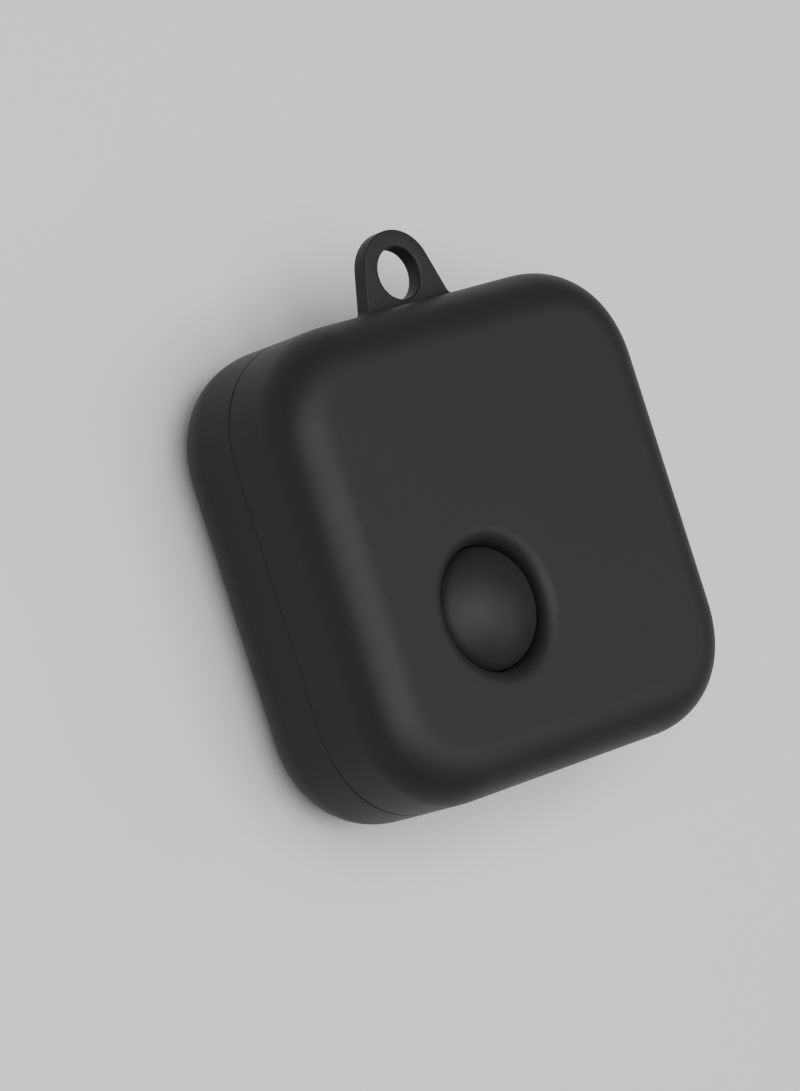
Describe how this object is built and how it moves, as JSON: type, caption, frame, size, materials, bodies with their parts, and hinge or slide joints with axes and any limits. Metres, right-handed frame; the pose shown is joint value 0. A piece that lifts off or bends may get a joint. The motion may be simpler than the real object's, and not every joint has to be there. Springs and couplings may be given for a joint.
{
  "type": "bluetooth tracker tag",
  "caption": "Rounded-square tracker tag with a soft-touch two-part shell, a hanging lug and a domed push button in a round recess, over a board, sounder and coin cell.",
  "frame": {"origin": "centre of the flat back face", "axes": "+Z out of the front face with the button, +Y towards the hanging lug, +X to the right seen from the front"},
  "size_m": [0.04, 0.0464, 0.0181],
  "materials": {
    "shell": "soft-touch charcoal, very fine matte grain",
    "button": "soft-touch charcoal, slightly smoother than the shell",
    "gasket": "matte silicone",
    "foam": "closed-cell foam",
    "cell_steel": "nickel-plated, fine turned grain",
    "grommet": "moulded polypropylene",
    "electrode": "pressed powder",
    "board": "green solder mask over glass laminate",
    "board_cover": "fine spark-eroded texture",
    "screw_steel": "zinc-plated",
    "chip": "moulded epoxy",
    "crystal_can": "satin nickel lid",
    "ferrite": "sintered ferrite",
    "capacitor": "fired ceramic with tinned ends",
    "resistor": "glazed film with tinned ends",
    "antenna_copper": "copper under clear mask",
    "contact_brass": "gold-flashed phosphor bronze",
    "contact_steel": "bright spring steel",
    "buzzer_brass": "rolled brass",
    "buzzer_ceramic": "fired silver electrode on ceramic",
    "tape": "double-sided tissue tape",
    "switch_body": "glass-filled nylon",
    "plunger": "moulded nylon"
  },
  "bodies": {
    "rear_half": {"rear_shell": "shell", "seam_gasket": "gasket", "cell_cushion": "foam"},
    "coin_cell": {"cell_can": "cell_steel", "cell_cap": "cell_steel", "cell_grommet": "grommet", "cell_core": "electrode"},
    "front_half": {"front_shell": "shell", "board_cover": "board_cover", "main_board": "board", "board_screws": "screw_steel", "radio_chip": "chip", "main_crystal": "crystal_can", "clock_crystal": "crystal_can", "motion_sensor": "chip", "driver_chip": "chip", "drive_coil": "ferrite", "ceramic_capacitors": "capacitor", "chip_resistors": "resistor", "antenna_trace": "antenna_copper", "negative_contact": "contact_brass", "positive_contacts": "contact_brass", "buzzer_plate": "buzzer_brass", "buzzer_ceramic": "buzzer_ceramic", "buzzer_tape": "tape", "buzzer_contacts": "contact_steel", "switch_base": "switch_body", "switch_cover": "contact_steel", "snap_dome": "contact_steel"},
    "button": {"button_cap": "button", "button_seal": "gasket"},
    "plunger": {"switch_plunger": "plunger"}
  },
  "joints": [
    {"name": "front_lift", "type": "slide", "parent": "rear_half", "child": "front_half", "axis": [0, 0, 1], "range_m": [0, 0.025]},
    {"name": "cell_lift", "type": "slide", "parent": "rear_half", "child": "coin_cell", "axis": [0, 0, 1], "range_m": [0, 0.01]},
    {"name": "button_press", "type": "slide", "parent": "front_half", "child": "button", "axis": [0, 0, -1], "range_m": [0, 0.0003], "stiffness_N_per_m": 4000, "springref_m": -0.0002},
    {"name": "plunger_press", "type": "slide", "parent": "front_half", "child": "plunger", "axis": [0, 0, -1], "range_m": [0, 0.0003], "deforming": ["snap_dome"]}
  ],
  "couplings": [
    {"joint": "cell_lift", "follows": "front_lift", "ratio": 0.4},
    {"joint": "plunger_press", "follows": "button_press", "ratio": 1}
  ]
}
